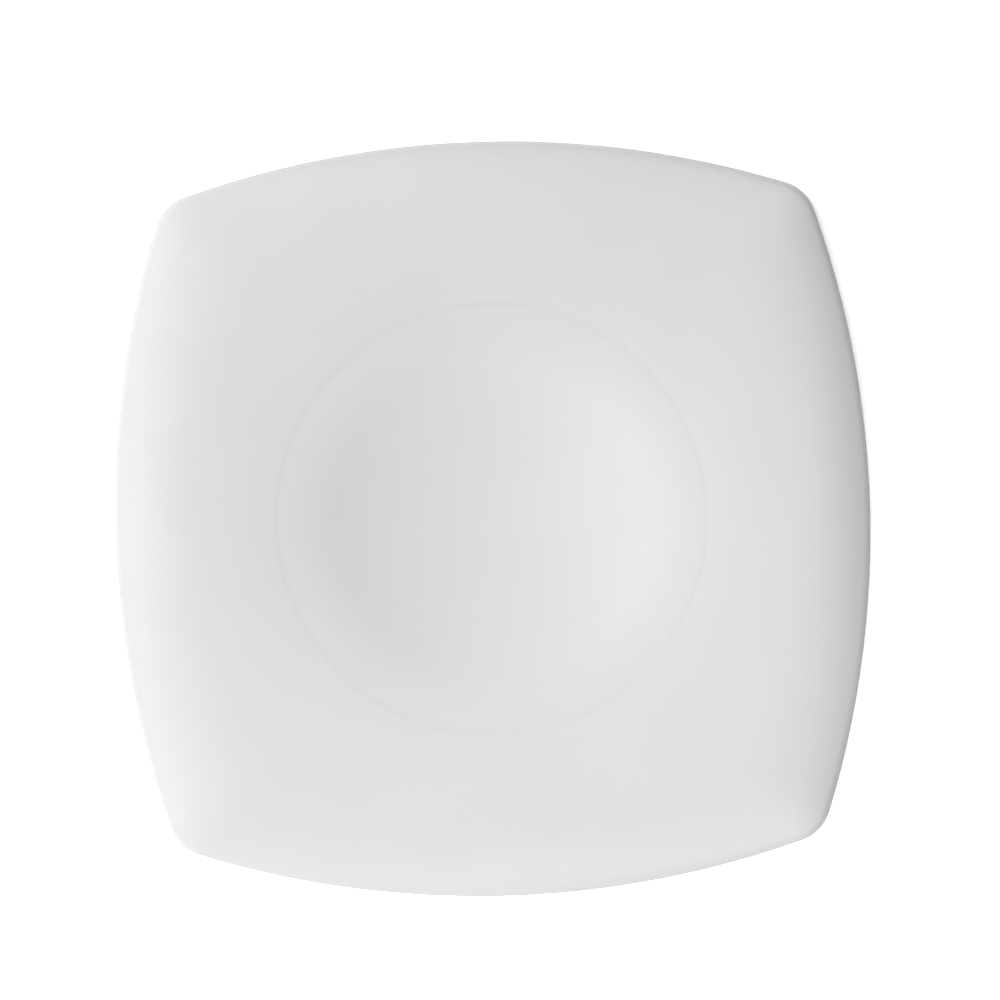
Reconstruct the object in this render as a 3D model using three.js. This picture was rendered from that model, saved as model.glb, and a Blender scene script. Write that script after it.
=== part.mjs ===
// A square dinner plate in glazed porcelain. A round well lies in a brim that grows square towards
// its edge, the bowed sides turn down, and the plate stands on a round foot ring that is left bare.
// Millimetres, +Z up. The origin lies under the middle of the well, where the plate stands.
import * as THREE from "three";
import { mergeVertices } from "three/addons/utils/BufferGeometryUtils.js";

// The edge seen from above, with its glaze
const plateWidth = 254; // between the middles of two facing sides
const edgeSideRadius = 320;
const edgeCornerRadius = 15;
const cornerLift = 1.3; // how much higher the edge's corners are than the middles of its sides

// The crest, the highest line of the brim, which is rounder than the edge
const crestSideRadius = 155;
const crestCornerRadius = 38;

// The upper face in section, from the middle of the well outwards
const wellRadius = 68; // where the well's shoulder ends and the brim begins
const wellSlope = 12.3; // degrees, where the well is steepest
const shoulderRadius = 123; // rounds the well over into the brim
const brimSlope = 5; // degrees, fall of the brim towards the well
const crestShare = 0.48; // how far out the crest lies on the way from the well to the lip
const crestRadius = 220; // rounds the brim over at the crest
const crestMost = 0.9; // share of the brim's width that this takes at most
const edgeSlope = 30; // degrees, where the turned-down edge ends in the lip
const lipRadius = 4; // rounds the upper face over at the lip

// The fine ring pressed into the brim round the well
const vergeGap = 4; // from the shoulder's end to the middle of the ring
const vergeWidth = 3.4;
const vergeDepth = 0.08;

// The wall of the fired body and the glaze on it
const wall = 4.2;
const edgeWall = 3.6;
const glaze = 0.35;

// The foot ring
const footRadius = 65; // middle of its standing face
const footFace = 3.2; // width of its standing face
const footRound = 0.8; // rounds the edges of its standing face
const footDraft = 14; // degrees that its flanks lean
const footFillet = 3; // rounds its flanks into the underside
const baseRise = 4.2; // from the standing face to the underside of the well's middle
const glazeLine = 2.2; // height to which the foot ring is wiped clean of glaze

// How finely the curves are stepped
const sideSteps = 10;
const cornerSteps = 3;
const faceSteps = { well: 5, shoulder: 3, brim: 2, crest: 2, edge: 6 };
const underSteps = { well: 4, shoulder: 3, brim: 1, crest: 1, edge: 3 };
const lipSteps = { above: 3, below: 3 };
const footSteps = 2;
const filletSteps = 3;
const crowding = 0.7; // draws the steps of the turned-down edge together as it tightens

const { clamp, degToRad, lerp, smoothstep } = THREE.MathUtils;

// A point of a section has its distance from the axis, its height and the angle that its surface faces
const outwards = 0;
const upwards = Math.PI / 2;
const downwards = -Math.PI / 2;
const point = (r, z, facing) => ({ r, z, facing });

const raised = (p, height) =>
  point(p.r + height * Math.cos(p.facing), p.z + height * Math.sin(p.facing), p.facing);

// The points of an arc that carries on from a point until it faces another way. A positive radius
// bulges out of the surface and a negative one hollows into it.
function bend(from, radius, facing, steps) {
  const centre = raised(from, -radius);
  return Array.from({ length: steps }, (_, k) => {
    const turned = lerp(from.facing, facing, (k + 1) / steps);
    return raised(point(centre.r, centre.z, turned), radius);
  });
}

// The points of a straight stretch that carries on from a point until it is wide enough
function run(from, width, steps) {
  const rise = -width / Math.tan(from.facing);
  return Array.from({ length: steps }, (_, k) => {
    const share = (k + 1) / steps;
    return point(from.r + width * share, from.z + rise * share, from.facing);
  });
}

// The points of a stretch that carries on from a level point and turns down ever more tightly, until it
// is wide enough and has its full tilt. Its height falls with the cube of the way out.
function turnDown(from, width, tilt, steps) {
  const steepest = Math.tan(tilt);
  return Array.from({ length: steps }, (_, k) => {
    const share = ((k + 1) / steps) ** crowding;
    const fall = (width * steepest * share ** 3) / 3;
    return point(from.r + width * share, from.z - fall, upwards - Math.atan(steepest * share ** 2));
  });
}

// The point of a line, given from the axis outwards, at a distance from the axis
function pointAt(line, r) {
  const next = line.findIndex((p) => p.r >= r);
  const [a, b] = [line[next - 1], line[next]];
  const share = (r - a.r) / (b.r - a.r);
  return point(r, lerp(a.z, b.z, share), lerp(a.facing, b.facing, share));
}

// Lengths of the section that follow from its driving sizes
const wellTilt = degToRad(wellSlope);
const brimTilt = degToRad(brimSlope);
const edgeTilt = degToRad(edgeSlope);
const flankTilt = degToRad(footDraft);
const halfWidth = plateWidth / 2;
const edgeEnd = halfWidth - glaze - lipRadius * (1 - Math.sin(edgeTilt));
const lipUnderRadius = (edgeWall - lipRadius * (1 - Math.sin(edgeTilt))) / (1 + Math.sin(edgeTilt));
const crestReach = lerp(wellRadius, edgeEnd, crestShare);
const brimWidth = crestReach - wellRadius;
const crestBend = Math.min(crestRadius, (crestMost * brimWidth) / Math.sin(brimTilt));
const bowlReach = wellRadius - shoulderRadius * (Math.sin(wellTilt) - Math.sin(brimTilt));
const bowlRadius = bowlReach / Math.sin(wellTilt);
const vergeRadius = wellRadius + vergeGap;

// The upper face of the fired body, from the axis to the start of the lip
function faceLine(steps) {
  const middle = point(0, baseRise + wall, upwards);
  const well = bend(middle, -bowlRadius, upwards + wellTilt, steps.well);
  const shoulder = bend(well.at(-1), shoulderRadius, upwards + brimTilt, steps.shoulder);
  const brim = run(shoulder.at(-1), brimWidth - crestBend * Math.sin(brimTilt), steps.brim);
  const crest = bend(brim.at(-1), crestBend, upwards, steps.crest);
  const edge = turnDown(crest.at(-1), edgeEnd - crestReach, edgeTilt, steps.edge);
  return [middle, ...well, ...shoulder, ...brim, ...crest, ...edge];
}

// The same line with the fine ring pressed into it
function pressVerge(line) {
  const inner = pointAt(line, vergeRadius - vergeWidth / 2);
  const outer = pointAt(line, vergeRadius + vergeWidth / 2);
  const bottom = raised(pointAt(line, vergeRadius), -vergeDepth);
  const within = line.filter((p) => p.r < inner.r);
  const beyond = line.filter((p) => p.r > outer.r);
  return [...within, inner, bottom, outer, ...beyond];
}

// The underside of the fired body, a wall below the upper face, from the axis to under the edge's end
function underLine(steps) {
  return faceLine(steps).map((p) => {
    const share = clamp((p.r - crestReach) / (edgeEnd - crestReach), 0, 1);
    const below = raised(p, -lerp(wall, edgeWall, share));
    return point(below.r, below.z, p.facing - Math.PI);
  });
}

// One side of the foot ring, from its standing face up to where its fillet runs out on the underside.
// The fillet's centre lies its radius clear of both the flank and the underside.
function footSide(side, under) {
  const facing = side > 0 ? outwards - flankTilt : outwards - Math.PI + flankTilt;
  const toe = point(footRadius + (side * footFace) / 2, 0, downwards);
  const round = bend(toe, footRound, facing, footSteps);
  const heel = round.at(-1);
  const upFlank = (z) => point(heel.r + side * (z - heel.z) * Math.tan(flankTilt), z, facing);

  const [flankR, flankZ] = [Math.cos(facing), Math.sin(facing)];
  const flankReach = heel.r * flankR + heel.z * flankZ + footFillet;
  const settle = 8;
  let root = pointAt(under, heel.r);
  let centre = root;
  for (let pass = 0; pass < settle; pass++) {
    const [rootR, rootZ] = [Math.cos(root.facing), Math.sin(root.facing)];
    const rootReach = root.r * rootR + root.z * rootZ + footFillet;
    const cross = flankR * rootZ - rootR * flankZ;
    const r = (flankReach * rootZ - rootReach * flankZ) / cross;
    const z = (flankR * rootReach - rootR * flankReach) / cross;
    centre = point(r, z, facing);
    root = pointAt(under, r - footFillet * rootR);
  }
  const shank = raised(centre, -footFillet);
  const fillet = bend(shank, -footFillet, root.facing, filletSteps);
  return { bare: [toe, ...round], glazed: [upFlank(glazeLine), shank, ...fillet] };
}

// The whole section of the fired body in three stretches: under the coat, bare, and under the base glaze
const face = pressVerge(faceLine(faceSteps));
const upperLip = bend(face.at(-1), lipRadius, outwards, lipSteps.above);
const lowerLip = bend(upperLip.at(-1), lipUnderRadius, face.at(-1).facing - Math.PI, lipSteps.below);
const under = underLine(underSteps);
const outerFoot = footSide(1, under);
const innerFoot = footSide(-1, under);
const outerRoot = outerFoot.glazed.at(-1).r;
const innerRoot = innerFoot.glazed.at(-1).r;
const brimUnder = under.filter((p) => p.r > outerRoot);
const wellUnder = under.filter((p) => p.r < innerRoot);
const coatLine = [
  ...face,
  ...upperLip,
  ...lowerLip,
  ...brimUnder.toReversed(),
  ...outerFoot.glazed.toReversed(),
];
const bareLine = [...outerFoot.bare.toReversed(), ...innerFoot.bare];
const baseLine = [...innerFoot.glazed, ...wellUnder.toReversed()];

// The points round one quarter of a square with bowed sides and round corners, turned to make all four.
// Each corner's arc touches the two sides' arcs, whose centres lie on the axes.
function bowedSquare(half, sideRadius, cornerRadius) {
  const sideCentre = half - sideRadius;
  const reach = sideRadius - cornerRadius;
  const corner = (sideCentre + Math.sqrt(2 * reach ** 2 - sideCentre ** 2)) / 2;
  const sideTurn = Math.asin(corner / reach);
  const arc = (x, y, radius, from, to, steps) =>
    Array.from({ length: steps }, (_, k) => {
      const angle = lerp(from, to, k / steps);
      return new THREE.Vector2(x + radius * Math.cos(angle), y + radius * Math.sin(angle));
    });
  const quarterTurn = Math.PI / 2;
  const quarter = [
    ...arc(sideCentre, 0, sideRadius, 0, sideTurn, sideSteps / 2),
    ...arc(corner, corner, cornerRadius, sideTurn, quarterTurn - sideTurn, cornerSteps),
    ...arc(0, sideCentre, sideRadius, quarterTurn - sideTurn, quarterTurn, sideSteps / 2),
  ];
  const axis = new THREE.Vector2();
  return [0, 1, 2, 3].flatMap((n) =>
    quarter.map((p) => p.clone().rotateAround(axis, n * quarterTurn).divideScalar(half)),
  );
}

// The rings that the section is lofted through, each at a half-width of 1: the round well, the crest
// and the edge, and how far each point of the edge is on its way from a side to a corner
const crestRing = bowedSquare(crestReach, crestSideRadius, crestCornerRadius);
const edgeRing = bowedSquare(halfWidth, edgeSideRadius, edgeCornerRadius);
const roundRing = edgeRing.map((_, i) => {
  const angle = (2 * Math.PI * i) / edgeRing.length;
  return new THREE.Vector2(Math.cos(angle), Math.sin(angle));
});
const cornerReach = Math.max(...edgeRing.map((p) => p.length()));
const towardsCorner = edgeRing.map((p) => (p.length() - 1) / (cornerReach - 1));
const roundReach = Math.max(vergeRadius + vergeWidth / 2, outerRoot);

// Where a point of the section lies on the way round that a ring's point has
function place({ r, z }, i) {
  const across = roundRing[i].clone();
  across.lerp(crestRing[i], smoothstep(r, roundReach, crestReach));
  across.lerp(edgeRing[i], smoothstep(r, crestReach, edgeEnd));
  const beyondCrest = Math.max(0, (r - crestReach) / (edgeEnd - crestReach));
  const lift = cornerLift * beyondCrest ** 2 * towardsCorner[i];
  return new THREE.Vector3(across.x * r, across.y * r, z + lift);
}

const onAxis = (p) => Math.abs(p.r) < 1e-6;

// The triangles of the surface that a line sweeps out, closed to a tip where the line meets the axis
function sweep(line) {
  const rings = line.map((p) => edgeRing.map((_, i) => place(p, i)));
  const triangles = [];
  for (let k = 0; k + 1 < line.length; k++) {
    const [from, to] = [rings[k], rings[k + 1]];
    for (let i = 0; i < from.length; i++) {
      const j = (i + 1) % from.length;
      if (!onAxis(line[k + 1])) triangles.push([from[i], to[i], to[j]]);
      if (!onAxis(line[k])) triangles.push([from[i], to[j], from[j]]);
    }
  }
  return triangles;
}

const turnedOver = (triangles) => triangles.map((corners) => corners.toReversed());

// A glaze over a line of the fired body, closed along the edge where it was wiped off
function glazeOver(line) {
  const outer = line.map((p) => raised(p, glaze));
  const wiped = onAxis(line[0]) ? [outer.at(-1), line.at(-1)] : [line[0], outer[0]];
  return [...sweep(outer), ...sweep(wiped), ...turnedOver(sweep(line))];
}

function solid(name, triangles, finish) {
  const corners = triangles.flat().flatMap((p) => p.toArray());
  const soup = new THREE.BufferGeometry();
  soup.setAttribute("position", new THREE.Float32BufferAttribute(corners, 3));
  const geometry = mergeVertices(soup);
  geometry.computeVertexNormals();
  const mesh = new THREE.Mesh(geometry, new THREE.MeshStandardMaterial(finish));
  mesh.name = name;
  return mesh;
}

const barePorcelain = { color: "#e8e3d9", roughness: 0.85, metalness: 0 };
const whiteGlaze = { color: "#f3f3f1", roughness: 0.14, metalness: 0 };

const plate = new THREE.Group();
plate.name = "square_plate";
plate.add(
  solid("porcelain_body", sweep([...coatLine, ...bareLine, ...baseLine]), barePorcelain),
  solid("glaze_coat", glazeOver(coatLine), whiteGlaze),
  solid("base_glaze", glazeOver(baseLine), whiteGlaze),
);

export default plate;
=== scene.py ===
# A square plate in white glazed porcelain, lying on a white studio floor and seen from straight above.
import math
from collections import namedtuple

import bpy
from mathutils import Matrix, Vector


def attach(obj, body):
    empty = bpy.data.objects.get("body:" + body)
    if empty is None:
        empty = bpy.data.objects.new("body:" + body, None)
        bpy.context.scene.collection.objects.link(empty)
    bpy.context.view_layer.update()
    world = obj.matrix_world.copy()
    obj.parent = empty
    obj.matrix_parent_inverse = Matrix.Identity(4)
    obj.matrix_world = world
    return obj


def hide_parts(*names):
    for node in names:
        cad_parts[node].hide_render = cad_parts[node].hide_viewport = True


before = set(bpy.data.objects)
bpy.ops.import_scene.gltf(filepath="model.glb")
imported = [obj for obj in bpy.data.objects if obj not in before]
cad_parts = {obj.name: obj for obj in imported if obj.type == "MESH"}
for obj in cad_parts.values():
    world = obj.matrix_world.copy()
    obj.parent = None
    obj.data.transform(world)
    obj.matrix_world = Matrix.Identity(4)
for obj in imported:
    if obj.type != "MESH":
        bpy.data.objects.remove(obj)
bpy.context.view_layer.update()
print("frame loaded:", ", ".join(sorted(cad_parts)))

mm = 0.001
fullTurn = 2 * math.pi
quarterTurn = math.pi / 2


# sockets that take part in plain sums, in any node tree

class Wire:
    def __init__(self, bench, socket):
        self.bench = bench
        self.socket = socket

    def math(self, operation, *others):
        return self.bench.node("ShaderNodeMath", {"operation": operation}, dict(enumerate((self, *others))))

    def turned(self, operation, other):  # the other value comes first
        return self.bench.node("ShaderNodeMath", {"operation": operation}, {0: other, 1: self})

    def __add__(self, other):
        return self.math("ADD", other)

    def __sub__(self, other):
        return self.math("SUBTRACT", other)

    def __mul__(self, other):
        return self.math("MULTIPLY", other)

    def __truediv__(self, other):
        return self.math("DIVIDE", other)

    def __mod__(self, other):
        return self.math("FLOORED_MODULO", other)

    def __radd__(self, other):
        return self.turned("ADD", other)

    def __rsub__(self, other):
        return self.turned("SUBTRACT", other)

    def __rmul__(self, other):
        return self.turned("MULTIPLY", other)

    def __rtruediv__(self, other):
        return self.turned("DIVIDE", other)


class Bench:
    def __init__(self, tree):
        self.tree = tree

    def node(self, kind, settings=None, sockets=None, out=0):
        made = self.tree.nodes.new(kind)
        for name, value in (settings or {}).items():  # settings first, they decide the sockets
            setattr(made, name, value)
        for name, value in (sockets or {}).items():
            if isinstance(value, Wire):
                self.tree.links.new(value.socket, made.inputs[name])
            else:
                made.inputs[name].default_value = value
        if isinstance(out, tuple):
            return [Wire(self, made.outputs[o]) for o in out]
        return Wire(self, made.outputs[out]) if made.outputs else made

    def eased(self, value, low, high):  # 0 at low and 1 at high, with soft ends
        return self.node("ShaderNodeMapRange", {"interpolation_type": "SMOOTHSTEP"},
                         {"Value": value, "From Min": low, "From Max": high})

    def speckle(self, where, scale, detail, roughness=0.5):
        return self.node("ShaderNodeTexNoise", {"noise_dimensions": "3D"},
                         {"Vector": where, "Scale": scale, "Detail": detail, "Roughness": roughness})

    def tinted(self, share, first, second):
        return self.node("ShaderNodeMix", {"data_type": "RGBA"}, {0: share, 6: first, 7: second}, out=2)

    def split(self, vector):
        return self.node("ShaderNodeSeparateXYZ", {}, {0: vector}, out=(0, 1, 2))


# the plate's section: points with a distance from the axis, a height and the angle that the surface faces

plateShape = {  # millimetres and degrees
    "width": 254.0,
    "edgeSideRadius": 320.0,
    "edgeCornerRadius": 15.0,
    "cornerLift": 1.3,  # how much higher the edge's corners are than the middles of its sides
    "crestSideRadius": 155.0,  # the crest is the highest line of the brim
    "crestCornerRadius": 38.0,
    "wellRadius": 68.0,
    "wellSlope": 12.3,
    "shoulderRadius": 123.0,
    "brimSlope": 5.0,
    "crestShare": 0.48,  # how far out the crest lies on the way from the well to the lip
    "crestRadius": 220.0,
    "crestMost": 0.9,  # share of the brim's width that the bend at the crest takes at most
    "edgeSlope": 30.0,
    "lipRadius": 4.0,
    "vergeGap": 4.0,  # from the well to the middle of the fine ring round it
    "vergeWidth": 3.4,
    "vergeDepth": 0.08,
    "wall": 4.2,
    "edgeWall": 3.6,
    "glaze": 0.35,
    "footRadius": 65.0,
    "footFace": 3.2,
    "footRound": 0.8,
    "footDraft": 14.0,
    "footFillet": 3.0,
    "baseRise": 4.2,  # from the standing face to the underside of the well's middle
    "glazeLine": 2.2,  # height to which the foot ring is wiped clean of glaze
}
sectionSteps = {
    "toeFiner": 3,  # how many times finer the rounded toes of the foot ring are stepped
    "bareFiner": 2,  # and its bare flanks
    "filletRounds": 12,  # enough for the place of a fillet's centre to settle
    "rootClear": 0.1,  # millimetres that the underside's points keep from the fillets
}
shape = namedtuple("shape", plateShape)(**plateShape)
sectionPoint = namedtuple("sectionPoint", "r z facing")
outwards, upwards, downwards = 0.0, quarterTurn, -quarterTurn

wellTilt = math.radians(shape.wellSlope)
brimTilt = math.radians(shape.brimSlope)
edgeTilt = math.radians(shape.edgeSlope)
flankTilt = math.radians(shape.footDraft)
halfWidth = shape.width / 2
lipReach = shape.lipRadius * (1 - math.sin(edgeTilt))  # how far the lip stands out from the edge's end
edgeEnd = halfWidth - shape.glaze - lipReach
lipUnderRadius = (shape.edgeWall - lipReach) / (1 + math.sin(edgeTilt))
crestReach = shape.wellRadius + (edgeEnd - shape.wellRadius) * shape.crestShare
brimWidth = crestReach - shape.wellRadius
crestBend = min(shape.crestRadius, shape.crestMost * brimWidth / math.sin(brimTilt))
bowlReach = shape.wellRadius - shape.shoulderRadius * (math.sin(wellTilt) - math.sin(brimTilt))
bowlRadius = bowlReach / math.sin(wellTilt)
vergeRadius = shape.wellRadius + shape.vergeGap


def mix(a, b, share):
    return a + (b - a) * share


def raised(p, height):
    return sectionPoint(p.r + height * math.cos(p.facing), p.z + height * math.sin(p.facing), p.facing)


def bend(start, radius, facing, fine):  # an arc that carries on until it faces another way
    steps = max(2, math.ceil(abs(radius * (facing - start.facing)) / fine))
    centre = raised(start, -radius)
    turns = [mix(start.facing, facing, (k + 1) / steps) for k in range(steps)]
    return [raised(sectionPoint(centre.r, centre.z, turn), radius) for turn in turns]


def run(start, width, fine):  # a straight stretch that carries on outwards
    steps = max(1, math.ceil(width / fine))
    rise = -width / math.tan(start.facing)
    shares = [(k + 1) / steps for k in range(steps)]
    return [sectionPoint(start.r + width * s, start.z + rise * s, start.facing) for s in shares]


def turnDown(start, width, tilt, fine):  # falls with the cube of the way out, ever more tightly
    steps = math.ceil(width / fine)
    steepest = math.tan(tilt)
    line = []
    for k in range(steps):
        share = (k + 1) / steps
        fall = width * steepest * share ** 3 / 3
        facing = upwards - math.atan(steepest * share ** 2)
        line.append(sectionPoint(start.r + width * share, start.z - fall, facing))
    return line


def stretch(start, end, fine):  # the points between two given ones, with the end
    steps = max(1, math.ceil(math.hypot(end.r - start.r, end.z - start.z) / fine))
    shares = [(k + 1) / steps for k in range(steps)]
    return [sectionPoint(mix(start.r, end.r, s), mix(start.z, end.z, s), end.facing) for s in shares]


def pointAt(line, r):
    after = next(k for k, p in enumerate(line) if p.r >= r)
    a, b = line[after - 1], line[after]
    share = (r - a.r) / (b.r - a.r)
    return sectionPoint(r, mix(a.z, b.z, share), mix(a.facing, b.facing, share))


def faceLine(fine):  # the upper face, from the axis to the start of the lip
    line = [sectionPoint(0.0, shape.baseRise + shape.wall, upwards)]
    line += bend(line[-1], -bowlRadius, upwards + wellTilt, fine)
    line += bend(line[-1], shape.shoulderRadius, upwards + brimTilt, fine)
    line += run(line[-1], brimWidth - crestBend * math.sin(brimTilt), fine)
    line += bend(line[-1], crestBend, upwards, fine)
    line += turnDown(line[-1], edgeEnd - crestReach, edgeTilt, fine)
    return line


def vergeShare(p):  # 1 in the middle of the fine ring in the brim, 0 beside it
    off = (p.r - vergeRadius) / shape.vergeWidth
    return (1 + math.cos(fullTurn * off)) / 2 if abs(off) < 0.5 else 0.0


def pressVerge(line, fine):  # the fine ring, rounded at its edges and its bottom
    inner, outer = vergeRadius - shape.vergeWidth / 2, vergeRadius + shape.vergeWidth / 2
    steps = math.ceil(shape.vergeWidth / fine)
    within = [pointAt(line, mix(inner, outer, k / steps)) for k in range(steps + 1)]
    spread = [p for p in line if p.r < inner] + within + [p for p in line if p.r > outer]
    return [raised(p, -shape.vergeDepth * vergeShare(p)) for p in spread]


def underLine(fine):  # the underside, a wall below the upper face
    line = []
    for p in faceLine(fine):
        share = min(1.0, max(0.0, (p.r - crestReach) / (edgeEnd - crestReach)))
        below = raised(p, -mix(shape.wall, shape.edgeWall, share))
        line.append(sectionPoint(below.r, below.z, p.facing - math.pi))
    return line


def footSide(side, under, fine):  # from the standing face up to where the fillet runs out
    facing = outwards - flankTilt if side > 0 else outwards - math.pi + flankTilt
    toe = sectionPoint(shape.footRadius + side * shape.footFace / 2, 0.0, downwards)
    bare = [toe] + bend(toe, shape.footRound, facing, fine / sectionSteps["toeFiner"])
    heel = bare[-1]
    wipedR = heel.r + side * (shape.glazeLine - heel.z) * math.tan(flankTilt)
    wiped = sectionPoint(wipedR, shape.glazeLine, facing)

    flankR, flankZ = math.cos(facing), math.sin(facing)
    flankReach = heel.r * flankR + heel.z * flankZ + shape.footFillet
    root = pointAt(under, heel.r)
    for _ in range(sectionSteps["filletRounds"]):  # its centre lies its radius clear of flank and underside
        rootR, rootZ = math.cos(root.facing), math.sin(root.facing)
        rootReach = root.r * rootR + root.z * rootZ + shape.footFillet
        cross = flankR * rootZ - rootR * flankZ
        centreR = (flankReach * rootZ - rootReach * flankZ) / cross
        centreZ = (flankR * rootReach - rootR * flankReach) / cross
        root = pointAt(under, centreR - shape.footFillet * rootR)
    shank = raised(sectionPoint(centreR, centreZ, facing), -shape.footFillet)
    fillet = bend(shank, -shape.footFillet, root.facing, fine)
    glazed = [wiped] + stretch(wiped, shank, fine) + fillet
    return bare + stretch(heel, wiped, fine / sectionSteps["bareFiner"])[:-1], glazed


def bodyStretches(fine):  # under the coat, bare, and under the base glaze, all the way round the section
    face = pressVerge(faceLine(fine["face"]), fine["verge"])
    upperLip = bend(face[-1], shape.lipRadius, outwards, fine["lip"])
    lowerLip = bend(upperLip[-1], lipUnderRadius, face[-1].facing - math.pi, fine["lip"])
    under = underLine(fine["under"])
    outerBare, outerGlazed = footSide(1, under, fine["foot"])
    innerBare, innerGlazed = footSide(-1, under, fine["foot"])
    outerRoot, innerRoot = outerGlazed[-1].r, innerGlazed[-1].r
    brimUnder = [p for p in under if p.r > outerRoot + sectionSteps["rootClear"]]
    wellUnder = [p for p in under if p.r < innerRoot - sectionSteps["rootClear"]]
    backUnder = stretch(lowerLip[-1], under[-1], fine["under"])[:-1] + brimUnder[::-1]
    coat = face + upperLip + lowerLip + backUnder + outerGlazed[::-1]
    bare = outerBare[::-1] + innerBare
    base = innerGlazed + wellUnder[::-1]
    return coat, bare, base, outerRoot


def fromEnd(line):  # how far along the line each point lies from its last one
    gone = [0.0]
    for a, b in zip(line[:0:-1], line[-2::-1]):
        gone.append(gone[-1] + math.hypot(a.r - b.r, a.z - b.z))
    return gone[::-1]


# the loft: each ring round the section grows from a circle through the crest to the bowed edge

loftSizes = {  # what the loft asks for, in metres
    "Half Width": halfWidth * mm,
    "Edge Side Radius": shape.edgeSideRadius * mm,
    "Edge Corner Radius": shape.edgeCornerRadius * mm,
    "Crest Reach": crestReach * mm,
    "Crest Side Radius": shape.crestSideRadius * mm,
    "Crest Corner Radius": shape.crestCornerRadius * mm,
    "Edge End": edgeEnd * mm,
    "Corner Lift": shape.cornerLift * mm,
}
loftInputs = {
    "Section": "NodeSocketGeometry",
    "Points Round": "NodeSocketInt",
    **dict.fromkeys(loftSizes, "NodeSocketFloat"),
    "Round Reach": "NodeSocketFloat",
    "Line Waver": "NodeSocketFloat",
    "Waver Seed": "NodeSocketFloat",
    "Finish": "NodeSocketMaterial",
}
loftRings = {
    "sides": 4,
    "crowding": 0.75,  # draws the points of a ring together at its corners
    "waverNoise": {"scale": 5.0, "detail": 3.0, "roughness": 0.55},  # of the wiped line, round a unit ring
    "merged": 1e-6,  # metres within which two points become one
}
glazeMarks = ("thinGlazeAndLipShade", "pooledGlazeAndRingShade")  # where the glaze runs thin round the lip and where it pools in the fine ring, from 0 to 1; both marks also carry painted shade


def bowedRing(turn, half, sideRadius, cornerRadius):  # growth of a ring with bowed sides, and at its corners
    side = sideRadius / half
    corner = cornerRadius / half
    sideCentre = 1 - side
    reach = side - corner
    cornerCentre = (sideCentre + (2 * reach * reach - sideCentre * sideCentre).math("SQRT")) / 2
    touchX = sideCentre + (cornerCentre - sideCentre) / reach * side
    touchY = cornerCentre / reach * side
    touch = touchY.math("ARCTAN2", touchX)
    cosine, sine = turn.math("COSINE"), turn.math("SINE")
    off = sideCentre * sine
    onSide = sideCentre * cosine + (side * side - off * off).math("SQRT")
    along = cornerCentre * (cosine + sine)
    inside = corner * corner - 2 * cornerCentre * cornerCentre + along * along
    onCorner = along + inside.math("MAXIMUM", 0.0).math("SQRT")
    atCorner = turn.math("GREATER_THAN", touch)
    tip = cornerCentre * math.sqrt(2) + corner
    return onSide + (onCorner - onSide) * atCorner, tip


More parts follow.
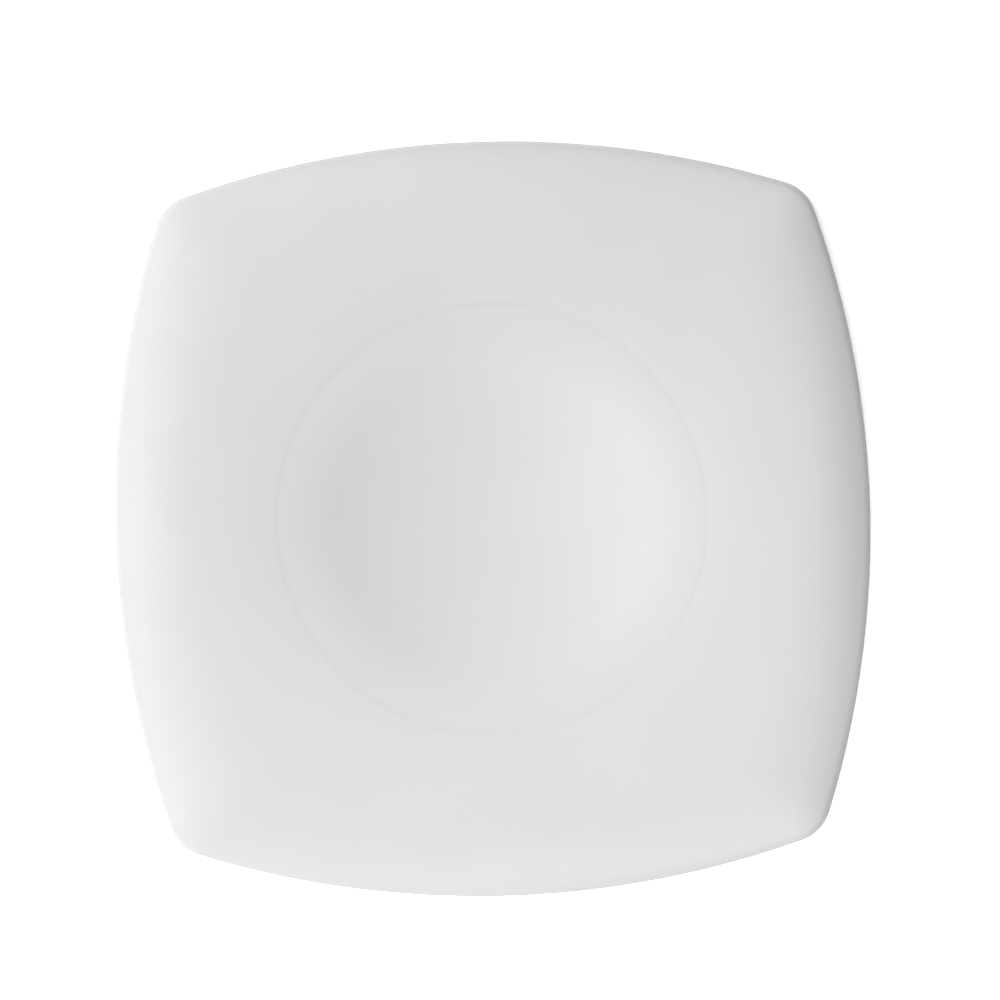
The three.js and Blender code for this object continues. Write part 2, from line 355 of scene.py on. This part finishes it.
def plateLoft():
    tree = bpy.data.node_groups.new("plateLoft", "GeometryNodeTree")
    for name, kind in loftInputs.items():
        tree.interface.new_socket(name, in_out="INPUT", socket_type=kind)
    tree.interface.new_socket("Plate", in_out="OUTPUT", socket_type="NodeSocketGeometry")
    b = Bench(tree)
    given = dict(zip(loftInputs, b.node("NodeGroupInput", out=tuple(loftInputs))))

    section = given["Section"]
    count = b.node("GeometryNodeAttributeDomainSize", {"component": "MESH"}, {"Geometry": section})
    grid = b.node("GeometryNodeMeshGrid", {}, {"Vertices X": given["Points Round"] + 1, "Vertices Y": count})
    index = b.node("GeometryNodeInputIndex")
    ringStep = (index / count).math("FLOOR")
    sectionStep = index - ringStep * count

    def sampled(kind, value):
        return b.node("GeometryNodeSampleIndex", {"data_type": kind, "domain": "POINT"},
                      {"Geometry": section, "Value": value, "Index": sectionStep})

    def named(kind, name):
        return b.node("GeometryNodeInputNamedAttribute", {"data_type": kind}, {"Name": name})

    place = sampled("FLOAT_VECTOR", b.node("GeometryNodeInputPosition"))
    slide = sampled("FLOAT_VECTOR", named("FLOAT_VECTOR", "slide"))
    marks = {name: sampled("FLOAT", named("FLOAT", name)) for name in glazeMarks}

    even = ringStep / given["Points Round"] * fullTurn
    angle = even + (even * loftRings["sides"]).math("SINE") * (loftRings["crowding"] / loftRings["sides"])
    turn = ((angle + quarterTurn / 2) % quarterTurn - quarterTurn / 2).math("ABSOLUTE")
    cosine, sine = angle.math("COSINE"), angle.math("SINE")

    roundSpot = b.node("ShaderNodeCombineXYZ", {}, {"X": cosine, "Y": sine, "Z": given["Waver Seed"]})
    waver = (b.speckle(roundSpot, **loftRings["waverNoise"]) - 0.5) * 2 * given["Line Waver"]
    placeR, _, placeZ = b.split(place)
    slideR, _, slideZ = b.split(slide)
    r = placeR + slideR * waver
    z = placeZ + slideZ * waver

    crest, _ = bowedRing(turn, given["Crest Reach"], given["Crest Side Radius"], given["Crest Corner Radius"])
    edge, tip = bowedRing(turn, given["Half Width"], given["Edge Side Radius"], given["Edge Corner Radius"])
    toCrest = b.eased(r, given["Round Reach"], given["Crest Reach"])
    toEdge = b.eased(r, given["Crest Reach"], given["Edge End"])
    square = 1 + (crest - 1) * toCrest
    growth = square + (edge - square) * toEdge
    beyond = ((r - given["Crest Reach"]) / (given["Edge End"] - given["Crest Reach"])).math("MAXIMUM", 0.0)
    lift = given["Corner Lift"] * beyond * beyond * (edge - 1) / (tip - 1)
    lofted = b.node("ShaderNodeCombineXYZ", {},
                    {"X": r * growth * cosine, "Y": r * growth * sine, "Z": z + lift})

    marked = grid
    for name, mark in marks.items():
        marked = b.node("GeometryNodeStoreNamedAttribute", {"data_type": "FLOAT", "domain": "POINT"},
                        {"Geometry": marked, "Name": name, "Value": mark})
    raisedGrid = b.node("GeometryNodeSetPosition", {}, {"Geometry": marked, "Position": lofted})
    closed = b.node("GeometryNodeMergeByDistance", {},
                    {"Geometry": raisedGrid, "Distance": loftRings["merged"]})
    facingOut = b.node("GeometryNodeFlipFaces", {}, {"Mesh": closed})
    smooth = b.node("GeometryNodeSetShadeSmooth", {}, {"Geometry": facingOut, "Shade Smooth": True})
    real = b.node("GeometryNodeRealizeInstances", {}, {"Geometry": smooth})
    finished = b.node("GeometryNodeSetMaterial", {}, {"Geometry": real, "Material": given["Finish"]})
    b.node("NodeGroupOutput", {}, {"Plate": finished})
    return tree


loftTree = plateLoft()
print("loft tree made:", len(loftTree.nodes), "nodes")


def clockwise(line):  # whether the closed section runs outwards above and back below
    return sum((b.r - a.r) * (a.z + b.z) for a, b in zip(line, line[1:] + line[:1])) > 0


def loftPiece(name, line, extras, finish, settings):
    if not clockwise(line):  # every section runs the same way round, so that the faces point outwards
        line = line[::-1]
        extras = {key: values[::-1] for key, values in extras.items()}
    section = bpy.data.meshes.new(name + "Section")
    edges = [(k, k + 1) for k in range(len(line) - 1)]
    section.from_pydata([(p.r * mm, 0.0, p.z * mm) for p in line], edges, [])
    slides = [value for r, z in extras["slide"] for value in (r, 0.0, z)]
    section.attributes.new("slide", "FLOAT_VECTOR", "POINT").data.foreach_set("vector", slides)
    for mark in glazeMarks:
        section.attributes.new(mark, "FLOAT", "POINT").data.foreach_set("value", extras[mark])
    piece = bpy.data.objects.new(name, section)
    bpy.context.scene.collection.objects.link(piece)

    loft = piece.modifiers.new("plateLoft", "NODES")
    loft.node_group = loftTree
    values = {**loftSizes, **settings, "Finish": finish}
    for item in loftTree.interface.items_tree:  # set by identifier, before the first evaluation
        if item.in_out == "INPUT" and item.name in values:
            loft[item.identifier] = values[item.name]
    depsgraph = bpy.context.evaluated_depsgraph_get()
    mesh = bpy.data.meshes.new_from_object(piece.evaluated_get(depsgraph))
    mesh.name = name
    piece.modifiers.remove(loft)
    piece.data = mesh
    bpy.data.meshes.remove(section)
    mesh.calc_loop_triangles()
    print(name, "lofted:", len(mesh.loop_triangles), "triangles")
    return piece


# finishes, with noise scales per metre and depths in metres

ceramicIor = 1.5


def newFinish(name):
    finish = bpy.data.materials.new(name)
    finish.use_nodes = True
    finish.node_tree.nodes.clear()
    return finish, Bench(finish.node_tree)


def fired(b, colour, roughness, relief, strength, depth):  # what both finishes of the plate end in
    bump = b.node("ShaderNodeBump", {}, {"Strength": strength, "Distance": depth, "Height": relief})
    shader = b.node("ShaderNodeBsdfPrincipled", {},
                    {"Base Color": colour, "Roughness": roughness, "IOR": ceramicIor, "Normal": bump})
    b.node("ShaderNodeOutputMaterial", {}, {"Surface": shader})


glazeFinish = {
    "white": (0.845, 0.845, 0.842, 1.0),
    "cloud": (0.836, 0.836, 0.833, 1.0),  # where the glaze lies a little thicker
    "cloudNoise": {"scale": 38.0, "detail": 3.0},
    "cloudRange": (0.35, 0.7),  # of the noise, from clear to cloudy
    "poolAndRingShade": (0.820, 0.821, 0.822, 1.0),  # darker in the fine ring: pooled glaze, and painted shade of the ring's groove
    "thinAndLipShade": (0.775, 0.765, 0.745, 1.0),  # darker round the lip: the body showing through thin glaze, and painted shade where the lip turns away from the light
    "thinAndLipShadeMost": 0.75,  # how far it takes that colour
    "roughness": 0.16,
    "roughnessSwing": 0.05,
    "roughnessThin": 0.06,  # added where it runs thin
    "sheenNoise": {"scale": 90.0, "detail": 2.0},
    "peelNoise": {"scale": 420.0, "detail": 1.0},
    "peelStrength": 0.6,
    "peelDepth": 0.000004,
}


def whiteGlaze():
    finish, b = newFinish("whiteGlaze")
    where = b.node("ShaderNodeTexCoord", out="Object")
    thinAndLipShade, poolAndRingShade = [b.node("ShaderNodeAttribute", {"attribute_name": mark}, out="Fac") for mark in glazeMarks]
    cloud = b.eased(b.speckle(where, **glazeFinish["cloudNoise"]), *glazeFinish["cloudRange"])
    colour = b.tinted(cloud, glazeFinish["white"], glazeFinish["cloud"])
    # painted shade: a darker glaze colour along the fine ring's groove, partly pooled glaze and partly a
    # painted dark line
    colour = b.tinted(poolAndRingShade, colour, glazeFinish["poolAndRingShade"])
    # painted shade: a darker, warmer glaze colour round the lip, partly the body showing through thin glaze
    # and partly a painted dark line
    colour = b.tinted(thinAndLipShade * glazeFinish["thinAndLipShadeMost"], colour, glazeFinish["thinAndLipShade"])
    sheen = b.speckle(where, **glazeFinish["sheenNoise"])
    roughness = glazeFinish["roughness"] + (sheen - 0.5) * (2 * glazeFinish["roughnessSwing"])
    roughness = roughness + thinAndLipShade * glazeFinish["roughnessThin"]
    peel = b.speckle(where, **glazeFinish["peelNoise"])
    fired(b, colour, roughness, peel, glazeFinish["peelStrength"], glazeFinish["peelDepth"])
    return finish


bareFinish = {
    "clay": (0.80, 0.765, 0.70, 1.0),
    "pale": (0.85, 0.82, 0.765, 1.0),  # patches
    "patchNoise": {"scale": 160.0, "detail": 3.0},
    "scuff": (0.52, 0.51, 0.49, 1.0),  # grey marks where it has stood
    "scuffMost": 0.5,  # how far it takes that colour
    "scuffNoise": {"scale": 420.0, "detail": 4.0, "roughness": 0.65},
    "scuffRange": (0.52, 0.72),  # of the noise, from clean to marked
    "scuffHeight": 0.0004,  # metres above the standing face at which the marks end
    "roughness": 0.92,
    "scuffPolish": 0.25,  # how much smoother the marks are rubbed
    "grainNoise": {"scale": 3200.0, "detail": 3.0, "roughness": 0.6},
    "grainStrength": 0.7,
    "grainDepth": 0.00004,
}


def barePorcelain():
    finish, b = newFinish("barePorcelain")
    where = b.node("ShaderNodeTexCoord", out="Object")
    _, _, height = b.split(where)
    standing = b.eased(height, bareFinish["scuffHeight"], 0.0)
    rubbed = b.eased(b.speckle(where, **bareFinish["scuffNoise"]), *bareFinish["scuffRange"])
    scuffed = rubbed * standing
    patch = b.speckle(where, **bareFinish["patchNoise"])
    colour = b.tinted(patch, bareFinish["clay"], bareFinish["pale"])
    colour = b.tinted(scuffed * bareFinish["scuffMost"], colour, bareFinish["scuff"])
    roughness = bareFinish["roughness"] - scuffed * bareFinish["scuffPolish"]
    grain = b.speckle(where, **bareFinish["grainNoise"])
    fired(b, colour, roughness, grain, bareFinish["grainStrength"], bareFinish["grainDepth"])
    return finish


glaze = whiteGlaze()
clay = barePorcelain()
print("finishes made:", glaze.name, clay.name)


# the glazes end in a rounded bead on the foot ring, along a line that wavers where it was wiped by hand

beadShares = (2.2, 1.6, 1.2, 0.9, 0.65, 0.42, 0.24, 0.1, 0.02)  # finer points, in lengths of the rounded end


def ringPoolAndShade(p):  # 1 in the fine ring of the upper face, where the glaze runs together and where the ring's painted shade goes
    return vergeShare(p) if p.facing > 0 else 0.0


def glazeShell(line, bead):  # the line runs from the axis to the wiped end
    end = fromEnd(line)
    outer, slides = [], []
    for p, gone in zip(line, end):
        inward = max(0.0, 1 - gone / bead["round"])
        swell = 1 + bead["swell"] * math.exp(-((gone - bead["round"]) / bead["reach"]) ** 2)
        thickness = shape.glaze * swell * math.sqrt(1 - inward * inward)
        outer.append(raised(p, thickness + bead["pool"] * ringPoolAndShade(p)))
    last, before = line[-1], line[-2]
    length = math.hypot(last.r - before.r, last.z - before.z)
    along = ((last.r - before.r) / length, (last.z - before.z) / length)
    for gone in end:
        share = max(0.0, 1 - gone / bead["follow"])
        slides.append((along[0] * share, along[1] * share))
    return outer, slides


def lipThinningAndShade(line, reach):  # 1 along the outermost point of the section, where the glaze runs off and where the lip's painted shade goes
    furthest = max(line, key=lambda p: p.r)
    return [math.exp(-(math.hypot(p.r - furthest.r, p.z - furthest.z) / reach) ** 2) for p in line]


def beadSteps(line, bead):  # finer points close to the wiped end
    wiped, start = line[-1], line[-2]
    length = math.hypot(start.r - wiped.r, start.z - wiped.z)
    extra = []
    for beadShare in beadShares:
        share = bead["round"] * beadShare / length
        if share < 1:
            r, z = mix(wiped.r, start.r, share), mix(wiped.z, start.z, share)
            extra.append(sectionPoint(r, z, wiped.facing))
    return line[:-1] + extra + [wiped]


def glazePiece(name, line, bead, roundReach):
    line = beadSteps(line, bead)
    outer, slides = glazeShell(line, bead)
    kept = sorted({*range(0, len(line), bead["innerEvery"]), len(line) - 1})  # the hidden side is coarser
    inner = [line[k] for k in reversed(kept)][1:]
    innerSlides = [slides[k] for k in reversed(kept)][1:]
    # both marks also carry painted shade: a dark line round the lip and along the fine ring
    extras = {
        "slide": slides + innerSlides,
        "thinGlazeAndLipShade": lipThinningAndShade(outer, bead["thinAndShadeReach"]) + [0.0] * len(inner),
        "pooledGlazeAndRingShade": [math.sqrt(ringPoolAndShade(p)) for p in outer] + [0.0] * len(inner),
    }
    settings = {"Points Round": bead["pointsRound"], "Round Reach": roundReach * mm,
                "Line Waver": bead["waver"] * mm, "Waver Seed": bead["seed"]}
    return loftPiece(name, outer + inner, extras, glaze, settings)


coatSettings = {  # millimetres
    "fine": {"face": 1.15, "verge": 0.3, "lip": 0.3, "under": 1.3, "foot": 0.45},  # between points
    "pointsRound": 240,
    "innerEvery": 3,  # every third point is enough on the hidden side
    "round": 0.6,  # over which the wiped end rounds off
    "swell": 0.25,  # share by which it stands proud behind the end
    "reach": 0.7,  # how far that swelling spreads
    "follow": 3.0,  # how far the surface behind follows the wavering line
    "waver": 0.45,
    "seed": 0.7,  # of the wavering
    "thinAndShadeReach": 1.4,  # how far the thin glaze and the lip's painted shade reach round the lip
    "pool": 0.04,  # how much of the fine ring's depth the glaze fills
}
coatLine, _, _, outerRoot = bodyStretches(coatSettings["fine"])
roundReach = max(vergeRadius + shape.vergeWidth / 2, outerRoot)
glazeCoat = glazePiece("glazeCoat", coatLine, coatSettings, roundReach)
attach(glazeCoat, "root")
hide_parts("glaze_coat")

baseSettings = {
    **coatSettings,
    "fine": {"face": 1.6, "verge": 0.85, "lip": 0.6, "under": 1.3, "foot": 0.45},
    "pointsRound": 192,
    "waver": 0.4,
    "seed": 3.1,
    "thinAndShadeReach": 0.4,
}
_, _, baseLine, _ = bodyStretches(baseSettings["fine"])
baseGlaze = glazePiece("baseGlaze", baseLine[::-1], baseSettings, roundReach)
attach(baseGlaze, "root")
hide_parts("base_glaze")

bodySettings = {
    "fine": {"face": 3.0, "verge": 0.85, "lip": 0.6, "under": 3.0, "foot": 0.4},
    "pointsRound": 192,
}
underCoat, bareFoot, underBase, _ = bodyStretches(bodySettings["fine"])
bodyLine = underCoat + bareFoot + underBase
bodyExtras = dict.fromkeys(glazeMarks, [0.0] * len(bodyLine))
bodyExtras["slide"] = [(0.0, 0.0)] * len(bodyLine)
bodyLoft = {"Points Round": bodySettings["pointsRound"], "Round Reach": roundReach * mm,
            "Line Waver": 0.0, "Waver Seed": 0.0}
porcelainBody = loftPiece("porcelainBody", bodyLine, bodyExtras, clay, bodyLoft)
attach(porcelainBody, "root")
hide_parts("porcelain_body")


# studio: a white floor, a large soft lamp on the left, a low strip above the picture and a fill below it,
# in a dim room whose walls, windows and ceiling show in the gloss alone

studio = {
    "floorSize": 4.0,
    "floorGap": 0.0001,  # keeps the floor clear of the standing face
    "floorColour": (0.9, 0.9, 0.9, 1.0),
    "floorMirrored": (1.2, 1.2, 1.2, 1.0),  # what the gloss shows of it, about white
    "floorSeen": (3.7, 3.7, 3.7, 1.0),  # what the camera sees of it, white up to the edge of the shadow
    "roomLight": 0.1,
    "wallMirrored": 0.35,  # what the gloss shows of the walls, between the windows and under the ceiling
    "ceiling": (22.0, 38.0),  # degrees above the floor at which it begins and is white
    "windows": 3,
    "windowTurn": 10.0,  # degrees from the plate's +X to the middle of the first window
    "windowEdge": (0.0, 0.5),  # how softly they begin, as cosines of the bearing times their number
}
studioLamps = {  # azimuth and height in degrees as the picture shows them, from its right and from the floor
    "leftLamp": {
        "azimuth": 193.0, "height": 50.0, "distance": 6.0, "width": 7.4, "tall": 7.4, "power": 366.0,
    },
    "topStrip": {
        "azimuth": 112.0, "height": 6.5, "distance": 2.0, "width": 2.4, "tall": 0.4, "power": 15.5,
    },
    "bottomFill": {
        "azimuth": 290.0, "height": 45.0, "distance": 0.9, "width": 0.6, "tall": 0.6, "power": 1.88,
    },
}
picture = {
    "pixels": 1000,
    "pixelsPerMillimetre": 2.975,
    "middle": (492.9, 518.8),  # where the plate's middle lies, in pixels from the top left
    "turn": -1.45,  # degrees that the camera is turned about the vertical
    "lens": 135.0,
    "sensor": 36.0,
    "height": 10.0,  # millimetres, the level at which the scale holds
}
right = Vector((math.cos(math.radians(picture["turn"])), math.sin(math.radians(picture["turn"])), 0.0))
up = Vector((-right.y, right.x, 0.0))


def shownToEye(b):  # 1 for what the camera sees, and 1 for what it sees in gloss or through glass
    seen, gloss, through = b.node("ShaderNodeLightPath",
                                  out=("Is Camera Ray", "Is Glossy Ray", "Is Transmission Ray"))
    return seen, (gloss + through).math("MINIMUM", 1.0)


def studioFloor():
    half = studio["floorSize"] / 2
    mesh = bpy.data.meshes.new("studioFloor")
    level = -studio["floorGap"]
    corners = [(-half, -half, level), (half, -half, level), (half, half, level), (-half, half, level)]
    mesh.from_pydata(corners, [], [(0, 1, 2, 3)])
    finish, b = newFinish("floorWhite")
    seen, mirrored = shownToEye(b)
    colour = b.tinted(mirrored, studio["floorColour"], studio["floorMirrored"])
    colour = b.tinted(seen, colour, studio["floorSeen"])
    shader = b.node("ShaderNodeBsdfDiffuse", {}, {"Color": colour})
    b.node("ShaderNodeOutputMaterial", {}, {"Surface": shader})
    mesh.materials.append(finish)
    floor = bpy.data.objects.new("studioFloor", mesh)
    bpy.context.scene.collection.objects.link(floor)


def hangLamps():
    for name, lamp in studioLamps.items():
        azimuth, height = math.radians(lamp["azimuth"]), math.radians(lamp["height"])
        sideways = right * math.cos(azimuth) + up * math.sin(azimuth)
        towards = sideways * math.cos(height) + Vector((0.0, 0.0, math.sin(height)))
        data = bpy.data.lights.new(name, "AREA")
        data.shape = "ELLIPSE" if lamp["width"] == lamp["tall"] else "RECTANGLE"
        data.size, data.size_y = lamp["width"], lamp["tall"]
        data.energy = lamp["power"]
        light = bpy.data.objects.new(name, data)
        light.location = towards * lamp["distance"]
        light.rotation_mode = "QUATERNION"
        light.rotation_quaternion = towards.to_track_quat("Z", "Y")
        light.visible_camera = False
        light.visible_glossy = False
        bpy.context.scene.collection.objects.link(light)


def whiteRoom():
    world = bpy.data.worlds.new("whiteRoom")
    world.use_nodes = True
    world.node_tree.nodes.clear()
    b = Bench(world.node_tree)
    seen, mirrored = shownToEye(b)
    x, y, z = b.split(b.node("ShaderNodeTexCoord", out="Object"))
    ceiling = b.eased(z, *(math.sin(math.radians(angle)) for angle in studio["ceiling"]))
    bearing = y.math("ARCTAN2", x) - math.radians(studio["windowTurn"])
    window = b.eased((bearing * studio["windows"]).math("COSINE"), *studio["windowEdge"])
    shown = studio["wallMirrored"] + ceiling.math("MAXIMUM", window) * (1 - studio["wallMirrored"])
    strength = (1 - mirrored) * studio["roomLight"] + mirrored * shown
    strength = strength + seen * (1 - studio["roomLight"])  # white where the camera looks past the floor
    shader = b.node("ShaderNodeBackground", {}, {"Color": (1.0, 1.0, 1.0, 1.0), "Strength": strength})
    b.node("ShaderNodeOutputWorld", {}, {"Surface": shader})
    bpy.context.scene.world = world


def studioCamera():
    data = bpy.data.cameras.new("overhead")
    data.lens = picture["lens"]
    data.sensor_width = picture["sensor"]
    across = picture["pixels"] / picture["pixelsPerMillimetre"]
    distance = across * picture["lens"] / picture["sensor"]
    half = picture["pixels"] / 2
    shiftRight = (half - picture["middle"][0]) / picture["pixelsPerMillimetre"]
    shiftUp = (picture["middle"][1] - half) / picture["pixelsPerMillimetre"]
    camera = bpy.data.objects.new("overhead", data)
    high = Vector((0.0, 0.0, picture["height"] + distance))
    camera.location = (right * shiftRight + up * shiftUp + high) * mm
    camera.rotation_euler = (0.0, 0.0, math.radians(picture["turn"]))
    bpy.context.scene.collection.objects.link(camera)
    bpy.context.scene.camera = camera


studioFloor()
hangLamps()
whiteRoom()
studioCamera()
bpy.context.scene.view_settings.view_transform = "Standard"
print("studio set")
